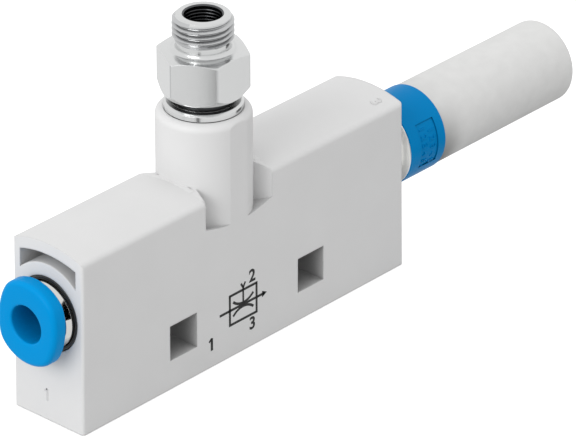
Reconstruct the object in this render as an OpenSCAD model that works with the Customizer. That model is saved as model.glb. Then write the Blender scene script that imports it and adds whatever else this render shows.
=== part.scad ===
// Vacuum ejector, T-shaped, for a 6 mm supply tube.
// X runs along the flow, from the supply port to the silencer. Z points to the vacuum port.
// The origin is the middle of the housing's flat base.

/* [Housing] */
// Length of the housing along its base
body_l = 74.8; // [72:0.2:80]
// Width of the housing across its flat sides
body_w = 14.8; // [14.6:0.1:15.4]
// Height of the crowned top on the centre line
body_h = 30.8; // [30:0.2:34]
// Radius of the crown across the top
crown_r = 21; // [18:0.5:30]
// Fillet between the crown and each side
top_edge_r = 0.9; // [0.5:0.1:1.4]
// Fillet on the upright corners
corner_r = 0.5; // [0.3:0.1:1]
// Lean of each end face, in degrees
end_draft = 1.1; // [0.2:0.1:2]
// Height of the supply and exhaust axis over the base
port_z = 18.7; // [18:0.1:19.6]

/* [Vacuum neck] */
// Offset of the neck from the middle of the housing
neck_x = -1.9; // [-3:0.1:0]
// Radius of the round neck
neck_r = 7.65; // [7.6:0.05:8]
// Height of the neck's top over the base
neck_h = 41.2; // [40.6:0.2:45]
// Rounding of the neck's top edge
neck_edge_r = 1.3; // [0.5:0.05:1.3]
// Half the length of the slot that frees the neck from the top of the housing
slot_half = 7.6; // [7.3:0.05:7.6]
// Height of the slot's floor where it meets the neck
moat_z = 23.6; // [23.4:0.1:25]
// Rise of the slot's floor away from the neck, in degrees
moat_rise = 22; // [5:1:30]

/* [End pockets] */
// Wall left beside each pocket
pocket_wall = 1.5; // [1.2:0.1:2]
// Wall left over each pocket
pocket_roof = 1.95; // [1.4:0.05:2.4]
// Depth of each pocket behind the end face
pocket_depth = 13; // [8:0.5:15]
// Wall of the round boss that holds each cartridge
boss_wall = 2.15; // [1.7:0.05:2.5]

/* [Mounting windows] */
// Side of each square window through the housing
window_side = 6.1; // [5:0.1:7]
// Distance between the two windows
window_pitch = 29.6; // [24:0.2:34]
// Height of the windows' centre over the base
window_z = 8.1; // [6:0.1:9]

/* [Port cartridges] */
// Outer radius of each sleeve
sleeve_r = 6.2; // [6.15:0.05:6.25]
// Length of each sleeve inside the housing
sleeve_depth = 9.6; // [9.6:0.1:11]
// Outer radius of the lip that stands out of each port
lip_r = 5.55; // [5.5:0.05:5.6]
// Straight part of the lip outside the housing
lip_out = 0.4; // [0.3:0.05:0.5]
// Height of the cone on the lip
lip_cone_h = 0.85; // [0.6:0.05:0.9]
// Outer radius of the lip's nose, at the end of the cone
lip_nose_r = 5.15; // [5.1:0.05:5.3]
// Depth of the step that holds the rim seal around the lip
rim_step = 0.7; // [0.65:0.05:0.75]
// Radius of the guide bore in the lip
guide_r = 5; // [4.9:0.05:5.05]
// Depth of the guide bore behind the port's face
guide_depth = 2.2; // [2:0.1:2.6]
// Radius of the chamber behind the guide bore
chamber_r = 5.5; // [5.45:0.05:5.55]
// Length of that chamber
chamber_l = 4; // [3.8:0.1:4]
// Radius of the seat for the grab ring and its support ring
cup_r = 5.8; // [5.75:0.05:5.85]
// Gap between the mouth of a port and its sleeve
mouth_gap = 0.1; // [0.1:0.05:0.15]
// Depth of that gap
mouth_depth = 0.8; // [0.4:0.1:1.5]
// Radius of the groove that holds each port's seal
seal_seat_r = 5.05; // [5:0.05:5.2]
// Depth to which a tube or stub enters behind the seal
stub_seat_l = 2.4; // [2:0.1:3]
// Thickness of the sprung grab ring
grab_t = 0.3; // [0.2:0.05:0.4]
// Inner radius of the grab ring's flat rim
grab_rim_r = 4.7; // [4.6:0.05:4.85]
// Slope of the grab ring's teeth, in degrees
grab_slope = 36; // [30:1:40]
// Number of teeth on a grab ring
grab_teeth = 12; // [8:1:16]

/* [Release ring] */
// Outer diameter of the supply tube
tube_d = 6; // [5.9:0.05:6.1]
// Height of the finger flange
flange_h = 13.9; // [13.4:0.1:15]
// Width of the finger flange across its curved sides
flange_w = 12; // [11.4:0.1:13]
// Thickness of the finger flange
flange_t = 2.6; // [2.2:0.1:3.2]
// Rounding of the flange's front edge
flange_edge_r = 1.1; // [0.4:0.1:1.2]
// Radius of the flange's rounded ends
flange_end_r = 5.9; // [5.8:0.02:5.94]
// Free gap between the flange and the sleeve's nose
release_gap = 1.05; // [0.9:0.05:1.3]
// Distance the ring travels when it is pressed
release_travel = 0.8; // [0.6:0.05:0.8]

/* [Vacuum nipple] */
// Outside diameter of the G1/8 thread
thread_d = 9.728; // [9.6:0.001:9.8]
// Length of the threaded shank, with its chamfer
thread_l = 4.2; // [4:0.1:5]
// Diameter of the undercut below the thread
undercut_d = 8.6; // [8.4:0.1:8.8]
// Height of the undercut over the hexagon
undercut_l = 1.8; // [1.4:0.1:2.2]
// Hexagon across flats
hex_af = 13; // [12:0.1:14]
// Height of the hexagon with both chamfers
hex_h = 7.1; // [6.6:0.1:8.5]
// Radius of the rim under the hexagon
hex_rim_r = 6.45; // [6.2:0.05:6.45]
// Height of the cone under the hexagon's corners
hex_cone_h = 1.4; // [1:0.1:1.6]
// Radius of the ring-shaped recess around the undercut
recess_r = 5.05; // [4.9:0.05:5.2]
// Depth of that recess
recess_depth = 0.6; // [0.4:0.1:1]
// Distance from the sleeve's nose to the hexagon's rim
hex_gap = 1.5; // [1.3:0.05:1.8]
// Radius of the disc that covers the sleeve, on the nipple and the silencer's stub
disc_r = 6.3; // [6.2:0.05:6.4]
// Height of that disc's edge
disc_h = 0.9; // [0.7:0.05:1]
// Radius of the narrow waist above the disc
waist_r = 5.75; // [5.7:0.05:5.85]
// Bore of the nipple and of the silencer's stub
duct_d = 6; // [5.8:0.1:6.2]

/* [Nozzles] */
// Throat diameter of the jet nozzle
jet_throat_d = 0.95; // [0.45:0.05:1.4]
// Length of the jet nozzle
jet_l = 21.5; // [20:0.5:23]
// Outer diameter of the jet nozzle's body
jet_d = 7.2; // [7:0.1:7.4]
// Length of the jet nozzle's body in its seat
jet_seat_l = 14; // [13:0.5:15]
// Distance from the jet nozzle's inlet to its O-ring groove
jet_groove_at = 5; // [3:0.5:10]
// Throat diameter of the receiver nozzle
receiver_throat_d = 1.9; // [1.2:0.1:2.4]
// Length of the receiver's slim nose in the suction chamber
receiver_nose_l = 3.8; // [3.4:0.1:4]
// Distance from the receiver's inlet to its throat
bell_l = 3.6; // [3:0.2:4.2]
// Length of the receiver's throat
throat_l = 5.4; // [4:0.2:6]
// Outer diameter of the receiver nozzle
receiver_d = 9.2; // [9:0.1:9.4]
// Free distance between the jet's tip and the receiver
nozzle_gap = 1.7; // [1.2:0.1:2.2]
// Thickness of the O-rings on the nozzles
ring_t = 1; // [0.9:0.05:1.1]

/* [Silencer] */
// Diameter of the polished flange on the silencer's stub
stub_flange_d = 14.4; // [13.6:0.1:14.4]
// Distance from the sleeve's nose to the collar
collar_gap = 1.1; // [0.9:0.05:1.3]
// Outer diameter of the collar
collar_d = 14.6; // [14.4:0.1:14.8]
// Length of the collar
collar_l = 8.45; // [7.8:0.05:9.4]
// Radius of the stub's root inside the collar
stub_root_r = 5; // [4.6:0.1:5.1]
// Outer diameter of the porous tube
silencer_d = 14.3; // [14:0.1:14.4]
// Length of the porous tube
silencer_l = 33.1; // [28:0.1:38]
// Bore of the porous tube
silencer_bore = 10.4; // [9.6:0.1:11]
// Length of the collar's tail inside the porous tube
tail_l = 5; // [4:0.5:8]
// Depth of the plain panel sunk in the collar
panel_depth = 0.2; // [0.1:0.05:0.3]
// Width of that panel along the collar
panel_w = 4.2; // [3:0.1:4.4]

/* [Hidden] */
$fn = 72;

fit = 0.05;    // radial clearance of a running or push fit
snug = 0.02;   // clearance between pieces that seat on each other
past = 1;      // how far a cutter reaches past what it cuts

half_l = body_l / 2;
half_w = body_w / 2;
crown_z = body_h - crown_r;
face_x = half_l - port_z * tan(end_draft);
mouth_r = sleeve_r + mouth_gap;
boss_r = mouth_r + boss_wall;

stub_r = duct_d / 2 + 1;
tube_r = tube_d / 2;
tube_seal_r = (seal_seat_r - tube_r - fit) / 2 - snug / 2;
stub_seal_r = (seal_seat_r - stub_r) / 2 - snug;
tube_seal_l = 2 * tube_seal_r + 2 * snug;
stub_seal_l = 2 * stub_seal_r + 2 * snug;

nose_w = lip_out + lip_cone_h;
cup_w = -guide_depth - chamber_l;
grab_w = cup_w - snug;
tooth_tan = tan(grab_slope);
jet_w = -sleeve_depth - tube_seal_l - stub_seat_l - 1.8;
jet_x = -face_x - jet_w;
seat_r = jet_d / 2 + snug;
suction_r = receiver_d / 2 - 0.35;
receiver_bore_r = receiver_d / 2 + snug;
tip_x = jet_x + jet_l;
receiver_x = tip_x + nozzle_gap;
shoulder_x = receiver_x + receiver_nose_l;
receiver_end = face_x - sleeve_depth - stub_seal_l - snug;

// ---- shared shapes ----

// Puts a port's own axis, which points out of the port, on the supply axis.
module at_supply() {
    translate([-face_x, 0, port_z]) rotate([0, -90, 0]) children();
}

module at_exhaust() {
    translate([face_x, 0, port_z]) rotate([0, 90, 0]) children();
}

module at_vacuum() {
    translate([neck_x, 0, neck_h]) children();
}

// Turns a profile drawn as radius and distance around the flow axis.
module turned_along_x(start) {
    translate([start, 0, port_z]) rotate([0, 90, 0]) rotate_extrude() children();
}

module ring(inner, outer, low, high) {
    rotate_extrude() translate([inner, low]) square([outer - inner, high - low]);
}

module round_bar(radius, low, high) {
    translate([0, 0, low]) cylinder(r = radius, h = high - low);
}

module o_ring(mid_r, thick_r) {
    rotate_extrude() translate([mid_r, 0]) circle(r = thick_r, $fn = 32);
}

// ---- housing ----

// Corner beyond the fillet between the crown and one side.
module crown_corner() {
    reach = crown_r - top_edge_r;
    fillet_y = half_w - top_edge_r;
    fillet_z = crown_z + sqrt(reach * reach - fillet_y * fillet_y);
    out = 2 * top_edge_r;
    difference() {
        polygon([[fillet_y, fillet_z],
                 [fillet_y + out * fillet_y / reach, fillet_z + out * (fillet_z - crown_z) / reach],
                 [half_w + out, fillet_z + 2 * out],
                 [fillet_y + out, fillet_z]]);
        translate([fillet_y, fillet_z]) circle(r = top_edge_r);
    }
}

module crowned_section() {
    difference() {
        intersection() {
            translate([-half_w, 0]) square([body_w, body_h]);
            translate([0, crown_z]) circle(r = crown_r, $fn = 180);
        }
        crown_corner();
        mirror([1, 0]) crown_corner();
    }
}

// Plan of the housing from one end, with that end's corners rounded.
module end_plan() {
    translate([corner_r, -half_w]) square([body_l * 1.2, body_w]);
    translate([0, corner_r - half_w]) square([body_l, body_w - 2 * corner_r]);
    for (side = [-1, 1])
        translate([corner_r, side * (half_w - corner_r)]) circle(r = corner_r);
}

module leaning_block() {
    translate([-half_l, 0, 0]) rotate([0, end_draft, 0])
        translate([0, 0, -past - 1]) linear_extrude(body_h + 2 * past + 2) end_plan();
}

module moulded_block() {
    intersection() {
        translate([-half_l, 0, 0]) rotate([90, 0, 90]) linear_extrude(body_l) crowned_section();
        leaning_block();
        mirror([1, 0, 0]) leaning_block();
    }
}

// Space around the neck: a slot across the housing with a conical floor.
module neck_slot() {
    low_r = neck_r - 1;
    far_r = slot_half + half_w;
    low_z = moat_z - tan(moat_rise);
    far_z = moat_z + (far_r - neck_r) * tan(moat_rise);
    top_z = body_h + past;
    intersection() {
        translate([neck_x - slot_half, -half_w - past, 0])
            cube([2 * slot_half, body_w + 2 * past, top_z]);
        translate([neck_x, 0, 0]) rotate_extrude()
            polygon([[low_r, low_z], [far_r, far_z], [far_r, top_z], [low_r, top_z]]);
    }
}

module neck() {
    land_r = neck_r - neck_edge_r;
    shoulder_z = neck_h - neck_edge_r;
    intersection() {
        translate([neck_x, 0, 0]) rotate_extrude() {
            translate([0, port_z]) square([neck_r, shoulder_z - port_z]);
            translate([0, port_z]) square([land_r, neck_h - port_z]);
            translate([land_r, shoulder_z]) circle(r = neck_edge_r);
        }
        translate([neck_x - neck_r - past, -half_w, 0])
            cube([2 * (neck_r + past), body_w, neck_h + past]);
    }
}

// Cored pocket between the crowned roof and the round boss of a port.
module end_pocket() {
    half_pocket = half_w - pocket_wall;
    translate([-half_l - past, 0, 0]) rotate([90, 0, 90])
        linear_extrude(pocket_depth + past) difference() {
            intersection() {
                translate([-half_pocket, port_z]) square([2 * half_pocket, body_h - port_z]);
                translate([0, crown_z]) circle(r = crown_r - pocket_roof, $fn = 180);
            }
            translate([0, port_z]) circle(r = boss_r);
        }
}

// Stepped bore of one port: mouth, sleeve seat, seal groove and stub seat.
module port_bore(seal_l, end_r, end_l) {
    seal_w = -sleeve_depth - seal_l;
    round_bar(mouth_r, -mouth_depth, past);
    round_bar(sleeve_r + snug, -sleeve_depth, past);
    round_bar(seal_seat_r, seal_w, -sleeve_depth + past);
    round_bar(end_r, seal_w - end_l, seal_w + past);
}

module flow_bore() {
    turned_along_x(0) {
        translate([0, jet_x - 1.8 - past]) square([2.2, 1.8 + 2 * past]);
        translate([0, jet_x]) square([seat_r, jet_seat_l + past]);
        translate([0, jet_x + jet_seat_l]) square([suction_r, shoulder_x - jet_x - jet_seat_l + snug]);
        translate([0, shoulder_x]) square([receiver_bore_r, face_x - sleeve_depth - shoulder_x]);
    }
}

module mounting_windows() {
    for (side = [-1, 1])
        translate([side * window_pitch / 2, 0, window_z])
            cube([window_side, body_w + 2 * past, window_side], center = true);
}

module housing() {
    color("#dfdfdd") difference() {
        union() {
            difference() {
                moulded_block();
                neck_slot();
            }
            neck();
        }
        end_pocket();
        mirror([1, 0, 0]) end_pocket();
        at_supply() port_bore(tube_seal_l, tube_r + fit, stub_seat_l);
        at_exhaust() port_bore(stub_seal_l, receiver_bore_r, stub_seat_l);
        at_vacuum() port_bore(stub_seal_l, stub_r + fit, stub_seat_l);
        translate([neck_x, 0, 0]) round_bar(duct_d / 2, port_z, neck_h);
        flow_bore();
        mounting_windows();
    }
}

// ---- pieces of the port cartridges ----

module sleeve() {
    rotate_extrude()
        polygon([[guide_r, nose_w], [lip_nose_r, nose_w], [lip_r, lip_out], [lip_r, -rim_step],
                 [sleeve_r, -rim_step], [sleeve_r, snug - sleeve_depth],
                 [cup_r, snug - sleeve_depth], [cup_r, cup_w], [chamber_r, cup_w],
                 [chamber_r, -guide_depth], [guide_r, -guide_depth]]);
}

// Sprung ring whose teeth lean inwards and stop what was pushed in.
module grab_ring(tip_r) {
    drop = (grab_rim_r - tip_r) * tooth_tan;
    slit = tip_r * 360 / grab_teeth * PI / 180 * 0.3;
    difference() {
        rotate_extrude()
            polygon([[cup_r - fit, grab_w], [grab_rim_r, grab_w], [tip_r, grab_w - drop],
                     [tip_r, grab_w - drop - grab_t], [grab_rim_r, grab_w - grab_t],
                     [cup_r - fit, grab_w - grab_t]]);
        for (i = [0 : grab_teeth - 1])
            rotate([0, 0, i * 360 / grab_teeth])
                translate([0, -slit / 2, grab_w - drop - 1]) cube([grab_rim_r, slit, drop + 2]);
    }
}

// Ring that clamps the grab ring and holds the seal in its groove.
module support_ring(hole_r, tip_r) {
    drop = (grab_rim_r - tip_r) * tooth_tan;
    top_w = grab_w - grab_t - snug;
    end_w = 2 * snug - sleeve_depth;
    web_w = min(grab_w - drop - 2 * grab_t, end_w + 0.9);
    rotate_extrude()
        polygon([[cup_r - fit, top_w], [cup_r - fit, end_w], [hole_r, end_w], [hole_r, web_w],
                 [grab_rim_r + 0.3, top_w - 0.3], [grab_rim_r + 0.3, top_w]]);
}

// Dark ring that fills the step between the lip and the mouth.
module rim_seal() {
    thick_r = (mouth_r - lip_r) / 2 - snug;
    translate([0, 0, thick_r + snug - rim_step]) o_ring((mouth_r + lip_r) / 2, thick_r);
}

module port_seal(seal_r) {
    translate([0, 0, -sleeve_depth - seal_r - snug]) o_ring(seal_seat_r - seal_r - snug / 2, seal_r);
}

module supply_sleeve() { color("#c9cacc") at_supply() sleeve(); }
module vacuum_sleeve() { color("#c9cacc") at_vacuum() sleeve(); }
module exhaust_sleeve() { color("#c9cacc") at_exhaust() sleeve(); }

module supply_grab_ring() { color("#b5b7ba") at_supply() grab_ring(tube_r + fit); }
module vacuum_grab_ring() { color("#b5b7ba") at_vacuum() grab_ring(stub_r - 0.2); }
module exhaust_grab_ring() { color("#b5b7ba") at_exhaust() grab_ring(stub_r - 0.2); }

module supply_support_ring() {
    color("#f0efe8") at_supply() support_ring(tube_r + 2 * fit, tube_r + fit);
}
module vacuum_support_ring() {
    color("#f0efe8") at_vacuum() support_ring(stub_r + 2 * fit, stub_r - 0.2);
}
module exhaust_support_ring() {
    color("#f0efe8") at_exhaust() support_ring(stub_r + 2 * fit, stub_r - 0.2);
}

module supply_rim_seal() { color("#26282a") at_supply() rim_seal(); }
module vacuum_rim_seal() { color("#26282a") at_vacuum() rim_seal(); }
module exhaust_rim_seal() { color("#26282a") at_exhaust() rim_seal(); }

module supply_seal() { color("#26282a") at_supply() port_seal(tube_seal_r); }
module vacuum_seal() { color("#26282a") at_vacuum() port_seal(stub_seal_r); }
module exhaust_seal() { color("#26282a") at_exhaust() port_seal(stub_seal_r); }

// ---- release ring ----

// Radius of the flange's flatter sides, which run smoothly into its rounded ends.
half_flange = flange_w / 2;
end_lift = flange_h / 2 - flange_end_r;
side_sum = end_lift * end_lift + half_flange * half_flange - flange_end_r * flange_end_r;
side_r = side_sum / (2 * (half_flange - flange_end_r));

// Front view of the finger flange: an oval of four arcs.
module flange_outline() {
    meet = end_lift + flange_end_r * end_lift / (side_r - flange_end_r);
    intersection() {
        union() {
            translate([end_lift, 0]) circle(r = flange_end_r, $fn = 120);
            translate([-end_lift, 0]) circle(r = flange_end_r, $fn = 120);
            translate([-meet, -flange_w]) square([2 * meet, 2 * flange_w]);
        }
        translate([0, half_flange - side_r]) circle(r = side_r, $fn = 240);
        translate([0, side_r - half_flange]) circle(r = side_r, $fn = 240);
    }
}

// Disc with its front edge rounded.
module rounded_disc(radius, thick, edge) {
    rotate_extrude() {
        square([radius, thick - edge]);
        square([radius - edge, thick]);
        intersection() {
            translate([radius - edge, thick - edge]) circle(r = edge, $fn = 48);
            square([radius, thick]);
        }
    }
}

module finger_flange() {
    intersection() {
        linear_extrude(flange_t) flange_outline();
        rounded_disc(flange_h / 2, flange_t, flange_edge_r);
        translate([0, half_flange - side_r, 0]) rounded_disc(side_r, flange_t, flange_edge_r, $fn = 144);
        translate([0, side_r - half_flange, 0]) rounded_disc(side_r, flange_t, flange_edge_r, $fn = 144);
    }
}

module supply_release_ring() {
    rear_w = nose_w + release_gap;
    front_w = rear_w + flange_t;
    bead_w = -guide_depth - fit;
    tip_w = grab_w + release_travel - 0.6;
    hole_r = tube_r + 2 * fit;
    hole_edge = 0.3;
    shank_r = guide_r - fit;
    bead_r = chamber_r - 0.25;
    color("#0a90d6") at_supply() difference() {
        union() {
            translate([0, 0, rear_w]) finger_flange();
            rotate_extrude()
                polygon([[1, rear_w + past], [shank_r, rear_w + past], [shank_r, bead_w],
                         [bead_r, bead_w], [bead_r, bead_w - 0.4], [guide_r - 0.6, bead_w - 1.2],
                         [guide_r - 0.9, tip_w + 0.6], [hole_r + 0.5, tip_w], [1, tip_w]]);
        }
        round_bar(hole_r, tip_w - past, front_w + past);
        translate([0, 0, front_w - hole_edge]) rotate_extrude() difference() {
            square([hole_r + hole_edge, hole_edge + past]);
            translate([hole_r + hole_edge, 0]) circle(r = hole_edge, $fn = 32);
        }
    }
}

// ---- nozzles ----

// Laval jet nozzle: the bore narrows to the throat and opens again to the tip.
module jet_nozzle() {
    body_r = jet_d / 2;
    throat_r = jet_throat_d / 2;
    throat_at = jet_seat_l + 1.5;
    color("#c8a24c") turned_along_x(jet_x) difference() {
        polygon([[2.2, snug], [body_r - 0.3, snug], [body_r, snug + 0.3], [body_r, jet_seat_l],
                 [body_r - 0.6, jet_seat_l + 0.3], [1.4, jet_l], [1.3 * throat_r, jet_l],
                 [throat_r, throat_at + 1], [throat_r, throat_at], [1.4, throat_at - 3],
                 [2.2, throat_at - 6]]);
        translate([body_r - ring_t, jet_groove_at]) square([ring_t + past, ring_t + 2 * fit]);
    }
}

// O-ring in a groove of a nozzle whose seat has the given radius.
module nozzle_o_ring(groove_x, outer_r) {
    color("#26282a") translate([groove_x + ring_t / 2 + fit, 0, port_z]) rotate([0, 90, 0])
        o_ring(outer_r - (ring_t + snug) / 2, ring_t / 2 - snug / 2);
}

module jet_nozzle_o_ring() { nozzle_o_ring(jet_x + jet_groove_at, seat_r); }

function receiver_groove(end) = end == 0 ? shoulder_x + 2 : receiver_end - 6;

// Receiver nozzle: bell mouth, throat and diffuser, with a socket for the silencer's stub.
module receiver_nozzle() {
    body_r = receiver_d / 2;
    nose_r = suction_r - 0.6;
    throat_r = receiver_throat_d / 2;
    waist_r = body_r - 0.8;
    front_groove = receiver_groove(0);
    rear_groove = receiver_groove(1);
    socket_x = receiver_end - stub_seat_l;
    throat_x = receiver_x + bell_l;
    throat_end = throat_x + throat_l;
    color("#e8e4da") turned_along_x(0) difference() {
        polygon([[nose_r - 0.9, receiver_x], [nose_r, receiver_x + 0.9], [nose_r, shoulder_x + snug],
                 [body_r, shoulder_x + snug], [body_r, front_groove + 3], [waist_r, front_groove + 3.6],
                 [waist_r, rear_groove - 2.6], [body_r, rear_groove - 2], [body_r, receiver_end],
                 [stub_r + fit, receiver_end], [stub_r + fit, socket_x], [duct_d / 2, socket_x],
                 [duct_d / 2 - 0.4, socket_x - 1.5], [throat_r, throat_end],
                 [throat_r, throat_x], [throat_r + 0.4, (receiver_x + throat_x) / 2],
                 [nose_r - 1.3, receiver_x]]);
        for (groove = [front_groove, rear_groove])
            translate([body_r - ring_t, groove]) square([ring_t + past, ring_t + 2 * fit]);
    }
}

module receiver_front_o_ring() { nozzle_o_ring(receiver_groove(0), receiver_bore_r); }
module receiver_rear_o_ring() { nozzle_o_ring(receiver_groove(1), receiver_bore_r); }

// ---- vacuum nipple ----

// Stub that a port cartridge holds: shank in the guide, groove for the teeth, and a tip.
module stub_profile(top_w, tip_w) {
    shank_r = guide_r - fit;
    shank_end = -guide_depth - 0.5;
    groove_top = grab_w - (grab_rim_r - stub_r) * tooth_tan + 0.15;
    polygon([[duct_d / 2, top_w], [shank_r, top_w], [shank_r, shank_end], [stub_r, shank_end - 0.9],
             [stub_r, groove_top], [stub_r - 0.25, groove_top], [stub_r - 0.25, groove_top - 1],
             [stub_r, groove_top - 1], [stub_r, tip_w + 0.3], [stub_r - 0.3, tip_w],
             [duct_d / 2, tip_w]]);
}

// Disc over the sleeve, hollow for its nose, and the cone that spreads above it to a rim.
module cover_profile(rim_r, rim_w) {
    cap_w = nose_w + fit;
    low_w = 0.06;
    waist_w = cap_w + 0.15;
    polygon([[duct_d / 2, cap_w], [lip_nose_r + fit, cap_w], [lip_r + 2 * fit, lip_out + fit],
             [lip_r + 2 * fit, low_w], [disc_r, low_w], [disc_r, low_w + disc_h],
             [waist_r, waist_w], [rim_r, rim_w], [rim_r, rim_w + 0.2], [duct_d / 2, rim_w + 0.2]]);
}

module vacuum_nipple() {
    rim_w = nose_w + hex_gap;
    hex_top = rim_w + hex_h;
    thread_w = hex_top + undercut_l;
    top_w = thread_w + thread_l;
    corner_r_hex = hex_af / sqrt(3);
    bore_r = duct_d / 2;
    crest_r = thread_d / 2;
    core_r = undercut_d / 2;
    chamfer = 0.75;
    tip_w = -sleeve_depth - stub_seal_l - stub_seat_l + snug;
    color("#c6c8ca") at_vacuum() {
        intersection() {
            translate([0, 0, rim_w]) cylinder(r = corner_r_hex, h = hex_h, $fn = 6);
            rotate_extrude()
                polygon([[bore_r, rim_w], [hex_rim_r, rim_w], [corner_r_hex + 0.01, rim_w + hex_cone_h],
                         [corner_r_hex + 0.01, hex_top - 0.42], [hex_rim_r + 0.05, hex_top],
                         [recess_r, hex_top], [recess_r - 0.25, hex_top - recess_depth],
                         [bore_r, hex_top - recess_depth]]);
        }
        rotate_extrude()
            polygon([[bore_r, hex_top - recess_depth - past], [core_r + 0.4, hex_top - recess_depth - past],
                     [core_r + 0.4, hex_top - recess_depth], [core_r, hex_top - recess_depth + 0.4],
                     [core_r, thread_w - 0.3], [crest_r, thread_w + 0.3], [crest_r, top_w - chamfer],
                     [crest_r - chamfer, top_w], [bore_r + 0.5, top_w], [bore_r, top_w - 0.5]]);
        rotate_extrude() cover_profile(hex_rim_r, rim_w);
        rotate_extrude() stub_profile(rim_w, tip_w);
    }
}

// ---- silencer ----

// Plated stub whose flange stands between the sleeve and the collar.
module silencer_stub() {
    back_w = nose_w + collar_gap - snug;
    root_w = back_w + collar_l - 2;
    flange_r = stub_flange_d / 2;
    rim_w = back_w - 0.23;
    bore_r = duct_d / 2;
    tip_w = -sleeve_depth - stub_seal_l - stub_seat_l + 2 * snug;
    color("#c9cacc") at_exhaust() {
        rotate_extrude() cover_profile(flange_r, rim_w);
        rotate_extrude()
            polygon([[bore_r, rim_w], [flange_r - 0.03, rim_w], [flange_r - 0.03, back_w],
                     [stub_root_r, back_w], [stub_root_r, root_w - 0.4],
                     [stub_root_r - 0.4, root_w], [bore_r, root_w]]);
        rotate_extrude() stub_profile(rim_w, tip_w);
    }
}

module silencer_collar() {
    near_w = nose_w + collar_gap;
    far_w = near_w + collar_l;
    outer_r = collar_d / 2;
    edge = 0.1;
    bore_r = duct_d / 2;
    root_end = near_w + collar_l - 2;
    tail_r = silencer_bore / 2 - snug;
    panel_mid = near_w + collar_l / 2 + 0.25;
    panel_half = outer_r * sin(31);
    color("#0a86cc") at_exhaust() difference() {
        rotate_extrude()
            polygon([[stub_root_r + snug, near_w], [outer_r - edge, near_w], [outer_r, near_w + edge],
                     [outer_r, far_w - edge], [outer_r - edge, far_w], [tail_r, far_w],
                     [tail_r, far_w + tail_l - 0.4], [tail_r - 0.4, far_w + tail_l],
                     [bore_r, far_w + tail_l], [bore_r, root_end], [stub_root_r + snug, root_end]]);
        rotate([0, 0, -96]) intersection() {
            ring(outer_r - panel_depth, outer_r + past, panel_mid - panel_w / 2, panel_mid + panel_w / 2);
            translate([0, -panel_half, 0]) cube([outer_r + past, 2 * panel_half, far_w]);
        }
    }
}

module silencer_tube() {
    start_w = nose_w + collar_gap + collar_l + snug;
    end_w = start_w + silencer_l;
    bore_r = silencer_bore / 2;
    outer_r = silencer_d / 2;
    edge = 0.6;
    color("#e9e8e4") at_exhaust() rotate_extrude() {
        translate([bore_r, start_w]) square([outer_r - bore_r, silencer_l - edge]);
        translate([bore_r + edge, start_w]) square([outer_r - bore_r - 2 * edge, silencer_l]);
        translate([bore_r + edge, end_w - edge]) circle(r = edge);
        translate([outer_r - edge, end_w - edge]) circle(r = edge);
    }
}

housing();
supply_sleeve();
supply_release_ring();
supply_grab_ring();
supply_support_ring();
supply_seal();
jet_nozzle();
jet_nozzle_o_ring();
receiver_nozzle();
receiver_front_o_ring();
receiver_rear_o_ring();
vacuum_sleeve();
vacuum_grab_ring();
vacuum_support_ring();
vacuum_seal();
vacuum_nipple();
exhaust_sleeve();
exhaust_grab_ring();
exhaust_support_ring();
exhaust_seal();
supply_rim_seal();
vacuum_rim_seal();
exhaust_rim_seal();
silencer_stub();
silencer_collar();
silencer_tube();
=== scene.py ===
import math

import bmesh
import bpy
from mathutils import Matrix, Vector


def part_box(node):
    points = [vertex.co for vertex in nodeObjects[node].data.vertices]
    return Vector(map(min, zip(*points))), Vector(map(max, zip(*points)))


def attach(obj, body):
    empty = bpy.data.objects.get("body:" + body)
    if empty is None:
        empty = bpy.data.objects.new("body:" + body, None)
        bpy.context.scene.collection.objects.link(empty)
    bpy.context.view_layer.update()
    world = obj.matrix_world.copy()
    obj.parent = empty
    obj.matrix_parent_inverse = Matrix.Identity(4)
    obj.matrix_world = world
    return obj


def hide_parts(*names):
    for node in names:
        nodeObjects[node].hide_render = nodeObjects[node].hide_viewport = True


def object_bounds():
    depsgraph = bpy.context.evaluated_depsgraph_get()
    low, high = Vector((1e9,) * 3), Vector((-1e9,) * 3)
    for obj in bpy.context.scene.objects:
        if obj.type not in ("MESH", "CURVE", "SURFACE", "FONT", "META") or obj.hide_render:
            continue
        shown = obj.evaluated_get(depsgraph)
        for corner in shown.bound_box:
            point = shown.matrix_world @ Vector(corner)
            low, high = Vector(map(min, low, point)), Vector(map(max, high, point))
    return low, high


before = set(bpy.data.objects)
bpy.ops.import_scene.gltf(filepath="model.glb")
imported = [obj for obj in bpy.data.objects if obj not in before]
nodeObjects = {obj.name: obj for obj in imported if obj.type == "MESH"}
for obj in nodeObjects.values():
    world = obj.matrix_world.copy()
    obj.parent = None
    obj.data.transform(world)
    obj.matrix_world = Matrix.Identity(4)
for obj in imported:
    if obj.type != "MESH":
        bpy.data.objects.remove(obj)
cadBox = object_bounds()
mm = 0.001

print("ejector: camera and light")

# the object stands upright and is seen from the supply end, a little from above
cameraSettings = {
    "aim": (17.59, 0.0, 13.61),
    "distance": 809.8,
    "azimuth": -47.88,
    "elevation": 28.07,
    "lens": 316.0,
    "sensor": 36.0,
    "near": 10,
    "far": 20000,
}


def placeCamera(settings):
    camera = bpy.data.objects.new("camera", bpy.data.cameras.new("camera"))
    bpy.context.scene.collection.objects.link(camera)
    azimuth = math.radians(settings["azimuth"])
    elevation = math.radians(settings["elevation"])
    back = Vector((math.cos(elevation) * math.sin(azimuth),
                   -math.cos(elevation) * math.cos(azimuth),
                   math.sin(elevation)))
    aim = Vector(settings["aim"]) * mm
    camera.location = aim + back * settings["distance"] * mm
    camera.rotation_euler = back.to_track_quat("Z", "Y").to_euler()
    camera.data.lens = settings["lens"]
    camera.data.sensor_width = settings["sensor"]
    camera.data.clip_start = settings["near"] * mm
    camera.data.clip_end = settings["far"] * mm
    bpy.context.scene.camera = camera


placeCamera(cameraSettings)
bpy.context.scene.view_settings.view_transform = "Standard"


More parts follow.
